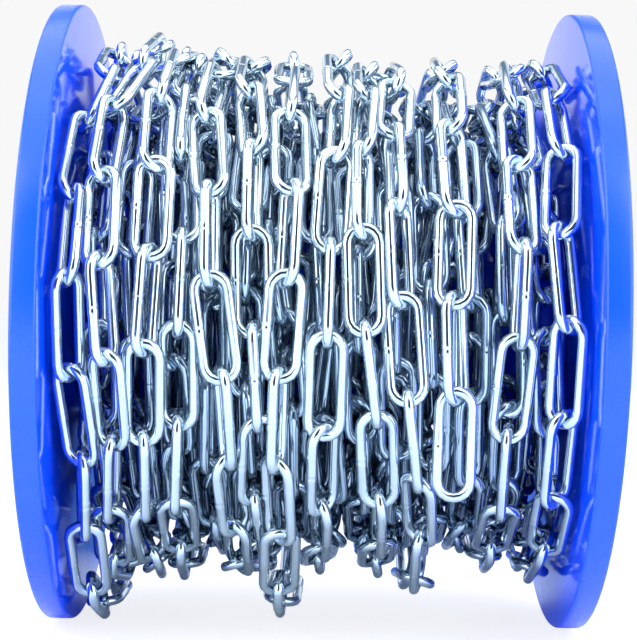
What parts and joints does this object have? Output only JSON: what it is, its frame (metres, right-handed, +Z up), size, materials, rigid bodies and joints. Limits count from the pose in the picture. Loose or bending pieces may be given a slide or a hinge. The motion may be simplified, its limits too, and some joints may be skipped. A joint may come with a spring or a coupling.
{
  "type": "reel of steel chain",
  "caption": "Welded long-link steel chain wound in many turns on a reel with two round plastic flanges and a spindle bore.",
  "frame": {"origin": "on the floor under the middle of the reel's axis, level with the lowest sides of both rims", "axes": "+X along the reel's axis, from the left flange to the right one; -Y is the front, where the chain's free end hangs; +Z up"},
  "size_m": [0.1696, 0.2, 0.2],
  "materials": {
    "blue_plastic": "glossy moulded plastic",
    "zinc_steel": "bright zinc plating",
    "hidden_chain": "bright zinc plating in shade"
  },
  "bodies": {
    "root": {"flange_left": "blue_plastic", "flange_right": "blue_plastic", "barrel": "blue_plastic", "chain_core": "hidden_chain", "chain_turn_01": "zinc_steel", "chain_turn_02": "zinc_steel", "chain_turn_03": "zinc_steel", "chain_turn_04": "zinc_steel", "chain_turn_05": "zinc_steel", "chain_turn_06": "zinc_steel", "chain_turn_07": "zinc_steel", "chain_turn_08": "zinc_steel", "chain_turn_09": "zinc_steel", "chain_turn_10": "zinc_steel", "chain_turn_11": "zinc_steel", "chain_turn_12": "zinc_steel", "chain_turn_13": "zinc_steel"}
  },
  "joints": []
}
